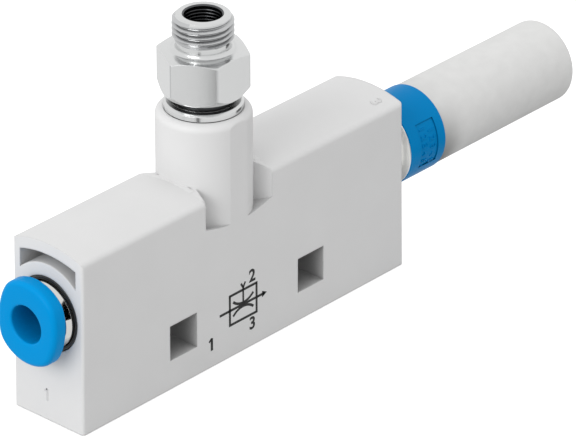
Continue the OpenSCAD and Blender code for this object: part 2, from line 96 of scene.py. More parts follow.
def hexColour(text):
    # sRGB hex to linear colour
    channels = [int(text[i:i + 2], 16) / 255 for i in (1, 3, 5)]
    linear = [c / 12.92 if c <= 0.04045 else ((c + 0.055) / 1.055) ** 2.4 for c in channels]
    return (*linear, 1.0)


def addNode(tree, kind, settings=None, links=None):
    # settings go to attributes or unlinked sockets, links to sockets
    node = tree.nodes.new(kind)
    for name, value in (settings or {}).items():
        if isinstance(name, int) or name in node.inputs:
            node.inputs[name].default_value = value
        else:
            setattr(node, name, value)
    for name, socket in (links or {}).items():
        tree.links.new(socket, node.inputs[name])
    return node


def startMaterial(name):
    material = bpy.data.materials.new(name)
    material.use_nodes = True
    material.node_tree.nodes.clear()
    return material, material.node_tree


def endMaterial(tree, shader):
    addNode(tree, "ShaderNodeOutputMaterial", links={"Surface": shader})


def sightRays(tree):
    # what the eye sees straight, and what it sees in a mirror or through glass
    rays = addNode(tree, "ShaderNodeLightPath").outputs
    mirrored = addNode(tree, "ShaderNodeMath", {"operation": "MAXIMUM"},
                       {0: rays["Is Glossy Ray"], 1: rays["Is Transmission Ray"]})
    return rays["Is Camera Ray"], mirrored.outputs[0]


lightSettings = {
    "worldLight": 0.86,
    "lamps": {
        "keyLight": {"strength": 1.15, "from": (-0.89, -0.02, 0.45), "angle": 40.0},
    },
}


def lightScene(settings):
    # soft light from all sides, which looks pure white where it is seen or mirrored
    scene = bpy.context.scene
    scene.world = bpy.data.worlds.new("studio")
    scene.world.use_nodes = True
    tree = scene.world.node_tree
    tree.nodes.clear()
    soft = addNode(tree, "ShaderNodeBackground", {"Color": (1, 1, 1, 1), "Strength": settings["worldLight"]})
    white = addNode(tree, "ShaderNodeBackground", {"Color": (1, 1, 1, 1), "Strength": 1.0})
    direct, mirrored = sightRays(tree)
    seen = addNode(tree, "ShaderNodeMath", {"operation": "MAXIMUM"}, {0: direct, 1: mirrored})
    mixed = addNode(tree, "ShaderNodeMixShader",
                    links={0: seen.outputs[0], 1: soft.outputs[0], 2: white.outputs[0]})
    addNode(tree, "ShaderNodeOutputWorld", links={"Surface": mixed.outputs[0]})
    for name, lamp in settings["lamps"].items():
        light = bpy.data.objects.new(name, bpy.data.lights.new(name, "SUN"))
        scene.collection.objects.link(light)
        light.rotation_euler = Vector(lamp["from"]).to_track_quat("Z", "Y").to_euler()
        light.data.energy = lamp["strength"]
        light.data.angle = math.radians(lamp["angle"])


lightScene(lightSettings)


def stageSheet(name, width, height, material):
    bm = bmesh.new()
    bmesh.ops.create_grid(bm, x_segments=1, y_segments=1, size=0.5)
    bmesh.ops.scale(bm, vec=(width * mm, height * mm, 1), verts=bm.verts)
    mesh = bpy.data.meshes.new(name)
    bm.to_mesh(mesh)
    bm.free()
    mesh.materials.append(material)
    sheet = bpy.data.objects.new(name, mesh)
    bpy.context.scene.collection.objects.link(sheet)
    return sheet


paperSettings = {
    "colour": "#BEBEBE",
    "lift": 0.78,
    "gloss": 0.42,
    "width": 6000,
    "below": 0.2,
}


def layPaper(settings):
    # matt white paper: lit by the lamps, lifted to white for the eye
    material, tree = startMaterial("paperBackdropWhite")
    paper = addNode(tree, "ShaderNodeBsdfDiffuse", {"Color": hexColour(settings["colour"])})
    direct, mirrored = sightRays(tree)
    seen = addNode(tree, "ShaderNodeMath", {"operation": "MULTIPLY", 1: settings["lift"]}, {0: direct})
    gloss = addNode(tree, "ShaderNodeMath", {"operation": "MULTIPLY", 1: settings["gloss"]}, {0: mirrored})
    glow = addNode(tree, "ShaderNodeMath", {"operation": "MAXIMUM"},
                   {0: seen.outputs[0], 1: gloss.outputs[0]})
    lift = addNode(tree, "ShaderNodeEmission", {"Color": (1, 1, 1, 1)}, {"Strength": glow.outputs[0]})
    both = addNode(tree, "ShaderNodeAddShader", links={0: paper.outputs[0], 1: lift.outputs[0]})
    endMaterial(tree, both.outputs[0])
    floor = stageSheet("floor", settings["width"], settings["width"], material)
    floor.location.z = cadBox[0][2] - settings["below"] * mm


layPaper(paperSettings)

# dark cards that only shiny surfaces see: they give the plated parts something to reflect
cardSettings = {
    "colour": "#0A0A0A",
    "facing": (-20, 0, 30),
    "cards": {
        "rightFront": {"size": (42, 60), "place": (74, -28, 12)},
        "sleeveFront": {"size": (7, 24), "place": (-39.6, -20, 30)},
    },
}


def placeCards(settings):
    material, tree = startMaterial("velvetCardBlack")
    velvet = addNode(tree, "ShaderNodeBsdfDiffuse", {"Color": hexColour(settings["colour"])})
    endMaterial(tree, velvet.outputs[0])
    for name, card in settings["cards"].items():
        sheet = stageSheet("card_" + name, *card["size"], material)
        place = Vector(card["place"])
        sheet.location = place * mm
        sheet.rotation_euler = (Vector(settings["facing"]) - place).to_track_quat("Z", "Y").to_euler()
        sheet.visible_camera = False
        sheet.visible_diffuse = False
        sheet.visible_shadow = False


placeCards(cardSettings)

print("ejector: materials")


def feed(tree, socket, value):
    # gives a socket a plain value or another node's output
    if isinstance(value, bpy.types.NodeSocket):
        tree.links.new(value, socket)
    else:
        socket.default_value = value


def recessShade(tree, colour, reach, openFrom, darkest):
    # light dies in narrow recesses: the colour sinks where little is open within this reach in mm
    opening = addNode(tree, "ShaderNodeAmbientOcclusion",
                      {"samples": 8, "only_local": True, "Distance": reach * mm})
    factor = addNode(tree, "ShaderNodeMapRange", {"From Max": openFrom}, {"Value": opening.outputs["AO"]})
    feed(tree, factor.inputs["To Min"], darkest)
    scaled = addNode(tree, "ShaderNodeVectorMath", {"operation": "SCALE"}, {"Scale": factor.outputs[0]})
    feed(tree, scaled.inputs[0], colour)
    return scaled.outputs[0]


def cloudyTone(tree, place, patch, detail, *stops):
    # drifts between two close colours in patches of this size in mm
    cloud = addNode(tree, "ShaderNodeTexNoise", {"Scale": 1 / (patch * mm), "Detail": detail},
                    {"Vector": place})
    tone = addNode(tree, "ShaderNodeValToRGB", links={"Fac": cloud.outputs["Fac"]})
    for element, (position, colour) in zip(tone.color_ramp.elements, stops):
        element.position = position
        element.color = hexColour(colour)
    return tone.outputs["Color"]


def fineSurface(tree, grain, strength, depth, edge):
    # a grain of this depth over edges that look rounded by this radius, both in mm
    soft = addNode(tree, "ShaderNodeBevel", {"samples": 6, "Radius": edge * mm})
    bump = addNode(tree, "ShaderNodeBump", {"Strength": strength, "Distance": depth * mm},
                   {"Height": grain, "Normal": soft.outputs["Normal"]})
    return bump.outputs["Normal"]


def mouldedPbt():
    # PBT from a spark-eroded mould: light grey, even, with a soft broad sheen
    material, tree = startMaterial("mouldedPbtLightGrey")
    place = addNode(tree, "ShaderNodeTexCoord").outputs["Object"]
    grain = addNode(tree, "ShaderNodeTexNoise", {"Scale": 1 / (0.12 * mm), "Detail": 2.0},
                    {"Vector": place}).outputs["Fac"]
    tone = cloudyTone(tree, place, 9, 2.0, (0.35, "#DFDFDF"), (0.65, "#E1E1E1"))
    # painted shade in recesses: full in the deep windows, weaker in the wide pockets and slots above them
    height = addNode(tree, "ShaderNodeSeparateXYZ", links={"Vector": place}).outputs["Z"]
    above = addNode(tree, "ShaderNodeMapRange",
                    {"From Min": 12 * mm, "From Max": 15 * mm, "To Min": 0.0, "To Max": 0.72},
                    {"Value": height})
    shade = recessShade(tree, tone, reach=7.0, openFrom=0.92, darkest=above.outputs[0])
    rough = addNode(tree, "ShaderNodeMapRange", {"To Min": 0.42, "To Max": 0.55}, {"Value": grain})
    surface = fineSurface(tree, grain, strength=0.25, depth=0.004, edge=0.35)
    shader = addNode(tree, "ShaderNodeBsdfPrincipled", {"IOR": 1.5},
                     {"Base Color": shade, "Roughness": rough.outputs[0], "Normal": surface})
    endMaterial(tree, shader.outputs[0])
    return material


def waxyPlastic(name, colour, edge):
    # moulded acetal and polypropylene: slick and even, with a slightly waxy sheen
    material, tree = startMaterial(name)
    place = addNode(tree, "ShaderNodeTexCoord").outputs["Object"]
    grain = addNode(tree, "ShaderNodeTexNoise", {"Scale": 1 / (0.35 * mm), "Detail": 3.0},
                    {"Vector": place}).outputs["Fac"]
    rough = addNode(tree, "ShaderNodeMapRange", {"To Min": 0.3, "To Max": 0.4}, {"Value": grain})
    surface = fineSurface(tree, grain, strength=0.2, depth=0.005, edge=edge)
    # painted shade: the colour darkens in recesses
    shade = recessShade(tree, hexColour(colour)[:3], reach=6.0, openFrom=0.85, darkest=0.05)
    shader = addNode(tree, "ShaderNodeBsdfPrincipled", {"IOR": 1.48, "Specular IOR Level": 0.05},
                     {"Base Color": shade, "Roughness": rough.outputs[0], "Normal": surface})
    endMaterial(tree, shader.outputs[0])
    return material


def workedMetal(name, colour, roughness, wobble, edge, reach=2.5, openFrom=0.7, pits=0.001):
    # plated, rolled or turned metal: its gloss wavers a little where the tool or the bath left it
    material, tree = startMaterial(name)
    place = addNode(tree, "ShaderNodeTexCoord").outputs["Object"]
    grain = addNode(tree, "ShaderNodeTexNoise", {"Scale": 1 / (0.25 * mm), "Detail": 3.0},
                    {"Vector": place}).outputs["Fac"]
    rough = addNode(tree, "ShaderNodeMapRange", {"To Min": roughness - wobble, "To Max": roughness + wobble},
                    {"Value": grain})
    # painted shade: the metal's colour darkens in its recesses
    shade = recessShade(tree, hexColour(colour)[:3], reach, openFrom, darkest=0.02)
    surface = fineSurface(tree, grain, 0.6, pits, edge)
    shader = addNode(tree, "ShaderNodeBsdfPrincipled", {"Metallic": 1.0},
                     {"Base Color": shade, "Roughness": rough.outputs[0], "Normal": surface})
    endMaterial(tree, shader.outputs[0])
    return material


def porousPe():
    # sintered polyethylene granules: chalky white with fine pores
    material, tree = startMaterial("sinteredPolyethyleneWhite")
    place = addNode(tree, "ShaderNodeTexCoord").outputs["Object"]
    pores = addNode(tree, "ShaderNodeTexVoronoi", {"Scale": 1 / (0.3 * mm)}, {"Vector": place})
    tone = cloudyTone(tree, place, 2.2, 3.0, (0.3, "#DDDDDC"), (0.7, "#E2E2E1"))
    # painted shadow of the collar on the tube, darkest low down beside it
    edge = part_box("silencer_tube")[0][0]
    along = addNode(tree, "ShaderNodeSeparateXYZ", links={"Vector": place}).outputs["X"]
    beside = addNode(tree, "ShaderNodeMapRange",
                     {"interpolation_type": "SMOOTHSTEP", "From Min": edge, "From Max": edge + 6 * mm,
                      "To Min": 1.0, "To Max": 0.0}, {"Value": along})
    normal = addNode(tree, "ShaderNodeNewGeometry").outputs["Normal"]
    facing = addNode(tree, "ShaderNodeSeparateXYZ", links={"Vector": normal}).outputs["Z"]
    low = addNode(tree, "ShaderNodeMapRange",
                  {"From Min": -0.4, "From Max": 0.8, "To Min": 0.6, "To Max": 0.04}, {"Value": facing})
    collarShadow = addNode(tree, "ShaderNodeMath", {"operation": "MULTIPLY"},
                   {0: beside.outputs[0], 1: low.outputs[0]})
    outsideShadow = addNode(tree, "ShaderNodeMath", {"operation": "SUBTRACT", 0: 1.0}, {1: collarShadow.outputs[0]})
    shade = addNode(tree, "ShaderNodeVectorMath", {"operation": "SCALE"},
                    {"Vector": tone, "Scale": outsideShadow.outputs[0]})
    bump = addNode(tree, "ShaderNodeBump", {"Strength": 0.15, "Distance": 0.015 * mm},
                   {"Height": pores.outputs["Distance"]})
    shader = addNode(tree, "ShaderNodeBsdfPrincipled", {"IOR": 1.5, "Roughness": 0.8},
                     {"Base Color": shade.outputs[0], "Normal": bump.outputs["Normal"]})
    endMaterial(tree, shader.outputs[0])
    return material


def rubber():
    # nitrile rubber: soft black with a dull shine
    material, tree = startMaterial("nitrileRubberBlack")
    place = addNode(tree, "ShaderNodeTexCoord").outputs["Object"]
    grain = addNode(tree, "ShaderNodeTexNoise", {"Scale": 1 / (0.2 * mm), "Detail": 2.0},
                    {"Vector": place}).outputs["Fac"]
    rough = addNode(tree, "ShaderNodeMapRange", {"To Min": 0.3, "To Max": 0.4}, {"Value": grain})
    shader = addNode(tree, "ShaderNodeBsdfPrincipled", {"IOR": 1.52, "Base Color": hexColour("#141414")},
                     {"Roughness": rough.outputs[0]})
    endMaterial(tree, shader.outputs[0])
    return material


def padPrintInk():
    # two-part pad printing ink: thin, black and nearly matt
    material, tree = startMaterial("padPrintInkBlack")
    place = addNode(tree, "ShaderNodeTexCoord").outputs["Object"]
    grain = addNode(tree, "ShaderNodeTexNoise", {"Scale": 1 / (0.15 * mm), "Detail": 2.0},
                    {"Vector": place}).outputs["Fac"]
    rough = addNode(tree, "ShaderNodeMapRange", {"To Min": 0.5, "To Max": 0.65}, {"Value": grain})
    shader = addNode(tree, "ShaderNodeBsdfPrincipled", {"IOR": 1.5, "Base Color": hexColour("#0D0D0D")},
                     {"Roughness": rough.outputs[0]})
    endMaterial(tree, shader.outputs[0])
    return material


housingGrey = mouldedPbt()
ringBlue = waxyPlastic("mouldedAcetalBlue", "#0094DA", edge=0.12)
collarBlue = waxyPlastic("mouldedPolypropyleneBlue", "#0084C6", edge=0.06)
naturalPom = waxyPlastic("mouldedAcetalNatural", "#EDEBE4", edge=0.05)
# the sleeves are bright as mirrors, the silencer's stub is dull
polishedNickel = workedMetal("polishedNickelPlate", "#D6D5D2", roughness=0.07, wobble=0.03, edge=0.05,
                             reach=1.0, openFrom=0.6)
stubNickel = workedMetal("satinNickelPlate", "#F4F4F2", roughness=0.42, wobble=0.06, edge=0.05,
                         reach=1.0, openFrom=0.35)
# plate follows what is under it: smooth on turned faces, pitted on the cut thread; a dark copy paints shade
# into the drilled bore
turnedNickel = workedMetal("turnedNickelPlate", "#D6D7D7", roughness=0.2, wobble=0.05, edge=0.05)
threadNickel = workedMetal("cutThreadNickelPlate", "#C2C3C4", roughness=0.22, wobble=0.1, edge=0.02,
                           reach=1.2, openFrom=0.85, pits=0.02)
boreShadeNickel = workedMetal("nickelPlatePaintedShade", "#5C5D5F", roughness=0.3, wobble=0.05, edge=0.02,
                         reach=6.0, openFrom=0.98)
springSteel = workedMetal("rolledSpringSteel", "#B5B7B9", roughness=0.25, wobble=0.06, edge=0.03)
turnedBrass = workedMetal("turnedBrass", "#C9A458", roughness=0.22, wobble=0.05, edge=0.05)
blackRubber = rubber()
porousWhite = porousPe()
printInk = padPrintInk()

# the ending of a node's name gives its finish
nodeFinish = {
    "housing": housingGrey,
    "release_ring": ringBlue,
    "silencer_collar": collarBlue,
    "silencer_stub": stubNickel,
    "silencer_tube": porousWhite,
    "vacuum_nipple": turnedNickel,
    "jet_nozzle": turnedBrass,
    "receiver_nozzle": naturalPom,
    "sleeve": polishedNickel,
    "grab_ring": springSteel,
    "support_ring": naturalPom,
    "seal": blackRubber,
    "o_ring": blackRubber,
}


def finishNodes(finishes):
    for name, node in nodeObjects.items():
        finish = next(finishes[ending] for ending in finishes if name.endswith(ending))
        node.data.materials.clear()
        node.data.materials.append(finish)


finishNodes(nodeFinish)

# edges that turn more sharply than this stay sharp, in degrees
sharpTurn = 25


def chain(bm, points):
    # joined vertices through these points, in mm
    verts = [bm.verts.new(Vector(point) * mm) for point in points]
    return verts + [bm.edges.new(pair) for pair in zip(verts, verts[1:])]


def quarter(radius, steps=6):
    # even steps of a quarter round, as (short of the corner, past the start)
    turns = [math.radians(90 * i / steps) for i in range(steps + 1)]
    return [(radius * (1 - math.sin(t)), radius * (1 - math.cos(t))) for t in turns]


def liftFaces(bm, faces, by):
    # extrudes faces by this vector and gives the lifted vertices
    swept = bmesh.ops.extrude_face_region(bm, geom=faces)["geom"]
    verts = [g for g in swept if isinstance(g, bmesh.types.BMVert)]
    bmesh.ops.translate(bm, vec=by, verts=verts)
    return verts


def setInPlace(bm, turns=(), move=(0, 0, 0)):
    # turns work made in mm about each axis given, moves it and makes it metres
    for axis, turn in turns:
        matrix = Matrix.Rotation(math.radians(turn), 3, axis)
        bmesh.ops.rotate(bm, cent=(0, 0, 0), matrix=matrix, verts=bm.verts)
    bmesh.ops.translate(bm, vec=move, verts=bm.verts)
    bmesh.ops.scale(bm, vec=(mm, mm, mm), verts=bm.verts)


def finishPiece(name, bm, material, body="ejector_body"):
    # closes the mesh, turns faces outwards and makes the object
    bmesh.ops.remove_doubles(bm, verts=bm.verts, dist=0.0005 * mm)
    bmesh.ops.recalc_face_normals(bm, faces=bm.faces)
    for face in bm.faces:
        face.smooth = True
    for edge in bm.edges:
        edge.smooth = edge.calc_face_angle(0) < math.radians(sharpTurn)
    mesh = bpy.data.meshes.new(name)
    bm.to_mesh(mesh)
    bm.free()
    mesh.materials.append(material)
    piece = bpy.data.objects.new(name, mesh)
    bpy.context.scene.collection.objects.link(piece)
    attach(piece, body)
    return piece


print("ejector: vacuum nipple")

nippleSettings = {
    "boreRadius": 3.0,
    "boreLead": 0.25,
    "ridges": 5,
    "ridgeStart": 0.3,
    "ridgeStep": 0.55,
    "ridgeDepth": 0.05,
    "ridgeHeights": (0.15, 0.3, 0.4),
    "threadLength": 4.2,
    "crestRadius": 4.864,
    "rootRadius": 4.283,
    "crestRound": 0.05,
    "rootRound": 0.04,
    "pitch": 0.907,
    "toothHeights": (0.0, 0.08, 0.37, 0.42, 0.49, 0.54, 0.83),
    "threadSteps": 120,
    "runOut": 0.2,
    "tuck": 0.3,
    "topGap": 0.04,
    "skinDepth": 0.01,
    "skinFrom": 0.3,
    "tipRadius": 4.1,
    "tipSlope": (0.2, 0.03),
    "tipEdge": 0.05,
    "undercutRadius": 4.3,
    "undercutLength": 1.8,
    "fillet": 0.75,
    "hexAcrossFlats": 13.0,
    "hexHeight": 7.1,
    "cornerFlat": 0.13,
    "topRimRadius": 6.5,
    "topChamfer": 0.42,
    "lowRimRadius": 6.45,
    "lowRimEdge": (0.03, 0.04),
    "lowCone": 1.3,
    "marks": (20.0, 21.0),  # radii that mark the hexagon's two rows until they are shaped
    "waistRadius": 4.9,
    "waistTop": 0.25,
    "disc": {
        "below": 2.75,
        "radius": 6.3,
        "edge": 0.06,
        "low": 0.06,
        "high": 0.96,
        "slope": (5.9, 1.2),
        "hollow": (5.65, 0.45),
        "roof": (5.2, 1.3),
    },
    "spigot": {"radius": 4.0, "chamfer": 0.3, "shoulder": 4.95, "cone": (3.6, 2.7)},
    "bodySteps": 360,
    # where the bore's painted shade and the cut finish end: under the top, over and in the core, from the
    # corners of the hexagon
    "boreShadeLimits": {"underTop": 0.03, "overCore": 0.8},
    "cutFinish": {"underTop": 0.3, "inCore": 0.05, "cornerFrom": 7.0, "cornerTurn": 1.2},
}


def nippleHeights(settings):
    # the nipple's axis and the heights of its steps in mm, down from its threaded top
    low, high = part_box("vacuum_nipple")
    at = {"top": high[2] / mm, "tip": low[2] / mm}
    at["thread"] = at["top"] - settings["threadLength"]
    at["hexTop"] = at["thread"] - settings["undercutLength"]
    at["hexLow"] = at["hexTop"] - settings["hexHeight"]
    at["disc"] = at["hexLow"] - settings["disc"]["below"]
    return (low[0] + high[0]) / 2 / mm, at


def setOut(vert, axisX, radius):
    # moves a vertex straight out from the axis, to this radius in mm
    out = Vector((vert.co.x - axisX * mm, vert.co.y))
    out.length = radius * mm
    vert.co.x, vert.co.y = axisX * mm + out.x, out.y


def cutOff(bm, axisX, height, direction, tuckRadius):
    # cuts the open thread across and tucks its rim under the core's skin
    cut = bmesh.ops.bisect_plane(bm, geom=bm.verts[:] + bm.edges[:] + bm.faces[:], dist=0.0001 * mm,
                                 plane_co=(0, 0, height * mm), plane_no=(0, 0, direction), clear_outer=True)
    for vert in (g for g in cut["geom_cut"] if isinstance(g, bmesh.types.BMVert)):
        setOut(vert, axisX, tuckRadius)


def cutThread(bm, settings, axisX, at):
    # one row of teeth, carried round and up by one pitch
    pitch, crest, root = settings["pitch"], settings["crestRadius"], settings["rootRadius"]
    crestSide, rootSide = crest - settings["crestRound"], root + settings["rootRound"]
    radii = (root, rootSide, crestSide, crest, crest, crestSide, rootSide)
    teeth = math.ceil(settings["threadLength"] / pitch) + 2
    row = chain(bm, [(axisX + radius, 0, at["thread"] - pitch + i * pitch + height)
                     for i in range(teeth) for radius, height in zip(radii, settings["toothHeights"])])
    steps = settings["threadSteps"]
    bmesh.ops.spin(bm, geom=row, cent=(axisX * mm, 0, 0), axis=(0, 0, 1),
                   dvec=(0, 0, pitch / steps * mm), angle=math.tau, steps=steps, use_merge=False)
    # the thread tapers off at the top and runs out into the undercut
    tucked = root - settings["tuck"]
    for vert in bm.verts:
        out = Vector((vert.co.x - axisX * mm, vert.co.y))
        height = vert.co.z / mm
        atTop = settings["tipRadius"] + at["top"] - height
        atUndercut = root + height - at["thread"] + settings["runOut"]
        out.length = min(out.length, max(min(atTop, atUndercut), tucked) * mm)
        vert.co.x, vert.co.y = axisX * mm + out.x, out.y
    cutOff(bm, axisX, at["top"] - settings["topGap"], 1, tucked)
    cutOff(bm, axisX, at["thread"] - settings["runOut"], -1, tucked)


def lowerOutline(settings, at):
    # (radius, height) up from the tip: the spigot in the port, the hollow disc over the sleeve, the waist
    spigot, disc = settings["spigot"], settings["disc"]
    radius, chamfer, shoulder = spigot["radius"], spigot["chamfer"], spigot["shoulder"]
    coneLow, coneHigh = spigot["cone"]
    face, rim, edge = at["disc"], disc["radius"], disc["edge"]
    low, high = face + disc["low"], face + disc["high"]
    hollowRadius, hollowHeight = disc["hollow"]
    roofRadius, roofHeight = disc["roof"]
    slopeRadius, slopeHeight = disc["slope"]
    rimIn, rimDown = settings["lowRimEdge"]
    waist, hexRim, hexLow = settings["waistRadius"], settings["lowRimRadius"], at["hexLow"]
    return [
        (settings["boreRadius"], at["tip"]), (radius - chamfer, at["tip"]), (radius, at["tip"] + chamfer),
        (radius, face - coneLow), (shoulder, face - coneHigh), (shoulder, face + roofHeight),
        (roofRadius, face + roofHeight), (hollowRadius, face + hollowHeight), (hollowRadius, low),
        (rim - edge, low), (rim, low + edge), (rim, high - edge), (rim - edge, high),
        (slopeRadius, face + slopeHeight), (waist, face + roofHeight), (waist, hexLow - settings["waistTop"]),
        (hexRim - rimIn, hexLow - rimDown), (hexRim, hexLow),
    ]


def upperOutline(settings, at):
    # (radius, height) up from the hexagon: undercut, core of the thread, tip, and the bore's lead
    bore, core, top = settings["boreRadius"], settings["undercutRadius"], at["top"]
    skin, tip = settings["rootRadius"] - settings["skinDepth"], settings["tipRadius"]
    lead, edge = settings["boreLead"], settings["tipEdge"]
    slopeLow, slopeHigh = settings["tipSlope"]
    return [
        (settings["topRimRadius"], at["hexTop"]),
        *[(core + short, at["hexTop"] + past) for past, short in reversed(quarter(settings["fillet"], 8))],
        (core, at["thread"] - settings["skinFrom"]), (skin, at["thread"] - settings["runOut"]),
        (skin, top - slopeLow), (tip, top - slopeHigh), (tip - edge, top), (bore + lead + edge, top),
        (bore + lead, top - edge), (bore, top - lead),
    ]


def drillRings(settings, at):
    # the drill leaves rings inside the bore
    bore, deep = settings["boreRadius"], settings["boreRadius"] + settings["ridgeDepth"]
    into, along, back = settings["ridgeHeights"]
    rings = []
    for i in range(settings["ridges"]):
        start = at["top"] - settings["boreLead"] - settings["ridgeStart"] - i * settings["ridgeStep"]
        rings += [(bore, start), (deep, start - into), (deep, start - along), (bore, start - back)]
    return rings


def hexRadius(turn, settings):
    # distance of the hexagon's side from the axis, with its corners just blunted
    half = settings["hexAcrossFlats"] / 2
    fromFlat = abs(math.degrees(turn) % 60 - 30)
    blunt = math.degrees(settings["cornerFlat"] / (half * 2 / math.sqrt(3)))
    return half / math.cos(math.radians(min(fromFlat, 30 - blunt)))


def shapeHexagon(bm, settings, axisX, at):
    # the two rows marked by their large radius become the hexagon's rims, which slope to its corners
    corner = settings["hexAcrossFlats"] / math.sqrt(3)
    lowSlope = settings["lowCone"] / (corner - settings["lowRimRadius"])
    topSlope = settings["topChamfer"] / (corner - settings["topRimRadius"])
    markLow, markHigh = settings["marks"]
    for vert in bm.verts:
        out = Vector((vert.co.x - axisX * mm, vert.co.y))
        if out.length < (markLow - 1) * mm:
            continue
        radius = hexRadius(math.atan2(out.y, out.x), settings)
        setOut(vert, axisX, radius)
        if out.length < (markLow + markHigh) / 2 * mm:
            vert.co.z = (at["hexLow"] + max(0, radius - settings["lowRimRadius"]) * lowSlope) * mm
        else:
            vert.co.z = (at["hexTop"] - max(0, radius - settings["topRimRadius"]) * topSlope) * mm


def finishNipple(piece, settings, axisX, at):
    # the bore and the narrow lower part get the dark copy as painted shade, the thread and the hexagon's
    # corners look cut
    piece.data.materials.append(threadNickel)
    piece.data.materials.append(boreShadeNickel)
    drilled, cut = settings["boreShadeLimits"], settings["cutFinish"]
    core, top = settings["undercutRadius"], at["top"]
    for face in piece.data.polygons:
        out = math.hypot(face.center.x / mm - axisX, face.center.y / mm)
        height = face.center.z / mm
        turn = math.degrees(math.atan2(face.center.y, face.center.x - axisX * mm))
        inBore = out < settings["boreRadius"] + settings["boreLead"] and height < top - drilled["underTop"]
        lowerPart = out < core + drilled["overCore"] and height < at["hexLow"]
        threaded = at["thread"] - settings["runOut"] < height < top - cut["underTop"]
        onThread = threaded and out > core - cut["inCore"]
        onCorner = out > cut["cornerFrom"] and abs(abs(turn % 60 - 30) - 30) < cut["cornerTurn"]
        if inBore or lowerPart:
            face.material_index = 2
        elif onThread or onCorner:
            face.material_index = 1


def nipplePiece(settings):
    axisX, at = nippleHeights(settings)
    markLow, markHigh = settings["marks"]
    outline = [
        *lowerOutline(settings, at), (markLow, at["hexLow"]), (markHigh, at["hexTop"]),
        *upperOutline(settings, at), *drillRings(settings, at), (settings["boreRadius"], at["tip"]),
    ]
    bm = bmesh.new()
    cutThread(bm, settings, axisX, at)
    row = chain(bm, [(axisX + radius, 0, height) for radius, height in outline])
    bmesh.ops.spin(bm, geom=row, cent=(axisX * mm, 0, 0), axis=(0, 0, 1), angle=math.tau,
                   steps=settings["bodySteps"], use_merge=True)
    shapeHexagon(bm, settings, axisX, at)
    piece = finishPiece("vacuum_nipple_turned", bm, turnedNickel)
    finishNipple(piece, settings, axisX, at)
    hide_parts("vacuum_nipple")


nipplePiece(nippleSettings)

print("ejector: release ring")

ringSettings = {
    "flangeHeight": 14.2,
    "flangeWidth": 12.3,
    "sideRadius": 12.2,
    "blend": 40,
    "rolled": 8.0,
    "thickness": 2.6,
    "edge": 0.85,
    "backEdge": 0.3,
    "holeRadius": 3.15,
    "holeEdge": 0.4,
    "shankRadius": 4.95,
    "beadRadius": 5.25,
    "beadFrom": 7.15,
    "beadLength": 0.4,
    "legCone": ((0.55, 1.2), (0.85, 0.6)),
    "legTip": 0.5,
    "mark": 50.0,  # radius that marks the flange's rim until it is shaped
    "steps": 240,
}


def flangeRadius(turn, settings):
    # from the axis to the flange's rim: two nearly flat sides run softly into two round ends
    offset = settings["sideRadius"] - settings["flangeWidth"] / 2
    side = math.sqrt(settings["sideRadius"] ** 2 - (offset * math.sin(turn)) ** 2)
    flat = side - offset * abs(math.cos(turn))
    blend = settings["blend"]
    return (flat ** -blend + (settings["flangeHeight"] / 2) ** -blend) ** (-1 / blend)


def ringProfile(settings, length):
    # (radius, depth) round the wall, with the flange's rim marked by a large radius
    hole, shank, bead = settings["holeRadius"], settings["shankRadius"], settings["beadRadius"]
    thick, beadFrom, mark = settings["thickness"], settings["beadFrom"], settings["mark"]
    (coneIn, coneFrom), (coneEnd, coneShort) = settings["legCone"]
    return [
        (hole, length),
        *[(hole + short, past) for past, short in quarter(settings["holeEdge"])],
        *[(mark - short, past) for short, past in quarter(settings["edge"])],
        *[(mark - past, thick - short) for short, past in quarter(settings["backEdge"], 3)],
        (shank, thick), (shank, beadFrom), (bead, beadFrom), (bead, beadFrom + settings["beadLength"]),
        (shank - coneIn, beadFrom + coneFrom), (shank - coneEnd, length - coneShort),
        (hole + settings["legTip"], length), (hole, length),
    ]


def ringPiece(settings):
    low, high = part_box("supply_release_ring")
    axisZ = (low[2] + high[2]) / 2 / mm
    front, length = low[0] / mm, (high[0] - low[0]) / mm
    bm = bmesh.new()
    row = chain(bm, [(front + depth, 0, axisZ + radius) for radius, depth in ringProfile(settings, length)])
    bmesh.ops.spin(bm, geom=row, cent=(0, 0, axisZ * mm), axis=(1, 0, 0), angle=math.tau,
                   steps=settings["steps"], use_merge=True)
    mark = settings["mark"]
    for vert in bm.verts:
        out = Vector((vert.co.y, vert.co.z - axisZ * mm))
        if out.length > (mark - 10) * mm:
            # the ring turns freely in its port and rests a little off upright
            turn = math.atan2(out.y, out.x) - math.radians(settings["rolled"])
            out.length = (flangeRadius(turn, settings) - mark) * mm + out.length
            vert.co.y, vert.co.z = out.x, axisZ * mm + out.y
    piece = finishPiece("release_ring_moulded", bm, ringBlue, "release_ring")
    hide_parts("supply_release_ring")


ringPiece(ringSettings)

print("ejector: printed symbol")

printSettings = {
    "centre": (-1.1, 8.3),
    "frameHalf": (3.1, 2.6),
    "line": 0.45,
    "arrowReach": (-5.45, 5.5),
    "head": (1.1, 1.15),
    "stemTop": 3.85,
    "stemLine": 0.85,
    "fork": {"wide": 0.5, "tall": 0.85, "overlap": 0.1},
    "throatHalf": 0.32,
    "arcRadius": 3.31,
    "arcHalfTurn": 45.0,
    "arcSteps": 18,
    "ink": 0.02,
    "digits": (("1", -8.4, 2.95), ("3", 1.0, 3.05), ("2", 1.0, 11.6)),
    "digitHeight": 2.2,
    "digitBold": 0.08,
}

# shares of a number's height in the stroked one, and how tall Blender's own numbers are at size 1
digitShape = {"stem": 0.16, "flagLine": 0.1, "flag": (-0.28, 0.76), "font": 0.72}


def stroke(bm, start, end, width):
    # straight line of this width between two points of a plane
    start, end = Vector(start), Vector(end)
    along = end - start
    made = bmesh.ops.create_grid(bm, x_segments=1, y_segments=1, size=0.5)["verts"]
    bmesh.ops.scale(bm, vec=(along.length, width, 1), verts=made)
    turn = Matrix.Rotation(math.atan2(along.y, along.x), 3, "Z")
    bmesh.ops.rotate(bm, cent=(0, 0, 0), matrix=turn, verts=made)
    bmesh.ops.translate(bm, vec=((start + end) / 2).to_3d(), verts=made)


